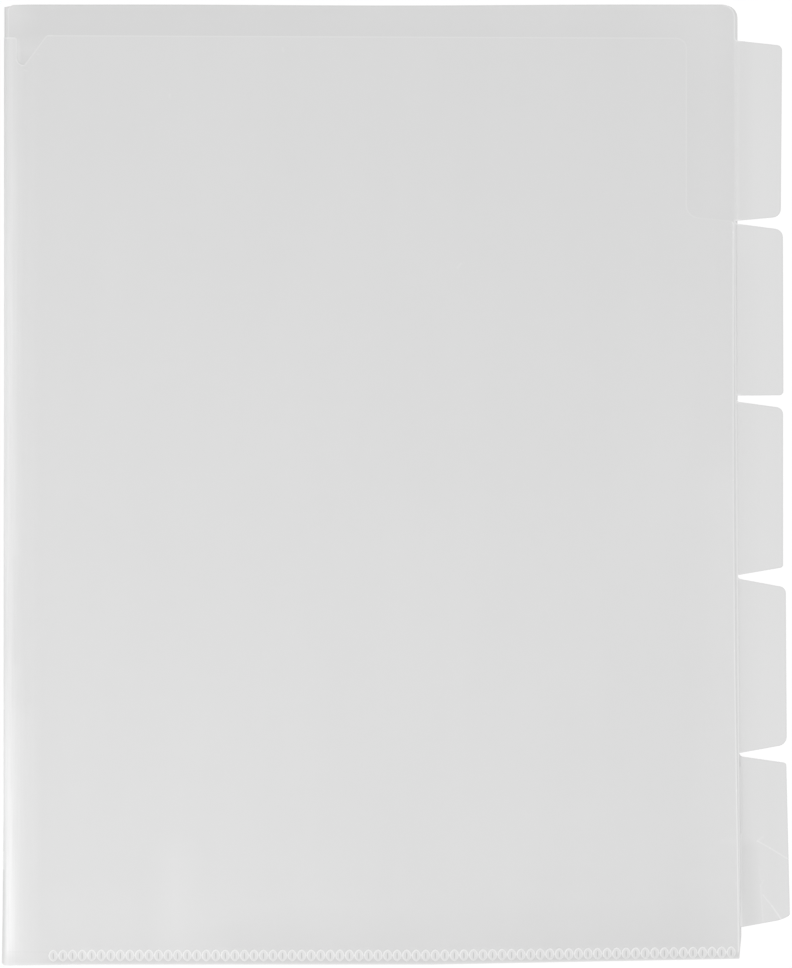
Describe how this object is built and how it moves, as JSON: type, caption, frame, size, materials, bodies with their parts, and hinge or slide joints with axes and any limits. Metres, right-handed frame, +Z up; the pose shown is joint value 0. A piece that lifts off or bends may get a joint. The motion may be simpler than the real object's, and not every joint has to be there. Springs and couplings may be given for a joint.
{
  "type": "tabbed plastic sleeve",
  "caption": "Multi-pocket sleeve of frosted film with a folded spine, a welded bottom and a row of index tabs down its open side, lying flat.",
  "frame": {"origin": "under the middle of the whole sleeve with its tabs, on the surface that the back cover lies on", "axes": "+Z up out of the front cover, +Y from the welded bottom to the open top, +X from the spine to the tabs"},
  "size_m": [0.2452, 0.2984, 0.0036],
  "materials": {
    "frosted_film": "frosted see-through polypropylene film, fine matt grain",
    "spine_film": "the same film, smoother and brighter over the fold",
    "welded_film": "fused film with a row of pressed eye-shaped marks"
  },
  "bodies": {
    "root": {"back_cover": "frosted_film", "spine_fold_back": "spine_film", "spine_fold_front": "spine_film", "bottom_weld": "welded_film", "front_cover": "frosted_film", "divider_1": "frosted_film", "divider_2": "frosted_film", "divider_3": "frosted_film", "divider_4": "frosted_film"},
    "front_cover_flap": {"front_cover_corner": "frosted_film"},
    "divider_1_flap": {"divider_1_corner": "frosted_film"},
    "divider_2_flap": {"divider_2_corner": "frosted_film"},
    "divider_3_flap": {"divider_3_corner": "frosted_film"},
    "divider_4_flap": {"divider_4_corner": "frosted_film"}
  },
  "joints": [
    {"name": "front_cover_lift", "type": "hinge", "parent": "root", "child": "front_cover_flap", "pos_m": [-0.00293, -0.0017, 0.0026], "axis": [0.6239, -0.7815, 0], "range_deg": [0, 45], "stiffness_Nm_per_rad": 0.004},
    {"name": "divider_1_lift", "type": "hinge", "parent": "root", "child": "divider_1_flap", "pos_m": [-0.00293, -0.0017, 0.0021], "axis": [0.6239, -0.7815, 0], "range_deg": [0, 36], "stiffness_Nm_per_rad": 0.004},
    {"name": "divider_2_lift", "type": "hinge", "parent": "root", "child": "divider_2_flap", "pos_m": [-0.00293, -0.0017, 0.0016], "axis": [0.6239, -0.7815, 0], "range_deg": [0, 27], "stiffness_Nm_per_rad": 0.004},
    {"name": "divider_3_lift", "type": "hinge", "parent": "root", "child": "divider_3_flap", "pos_m": [-0.00293, -0.0017, 0.0011], "axis": [0.6239, -0.7815, 0], "range_deg": [0, 18], "stiffness_Nm_per_rad": 0.004},
    {"name": "divider_4_lift", "type": "hinge", "parent": "root", "child": "divider_4_flap", "pos_m": [-0.00293, -0.0017, 0.0006], "axis": [0.6239, -0.7815, 0], "range_deg": [0, 9], "stiffness_Nm_per_rad": 0.004}
  ],
  "couplings": [
    {"joint": "divider_1_lift", "follows": "front_cover_lift", "ratio": 0.8},
    {"joint": "divider_2_lift", "follows": "front_cover_lift", "ratio": 0.6},
    {"joint": "divider_3_lift", "follows": "front_cover_lift", "ratio": 0.4},
    {"joint": "divider_4_lift", "follows": "front_cover_lift", "ratio": 0.2}
  ]
}
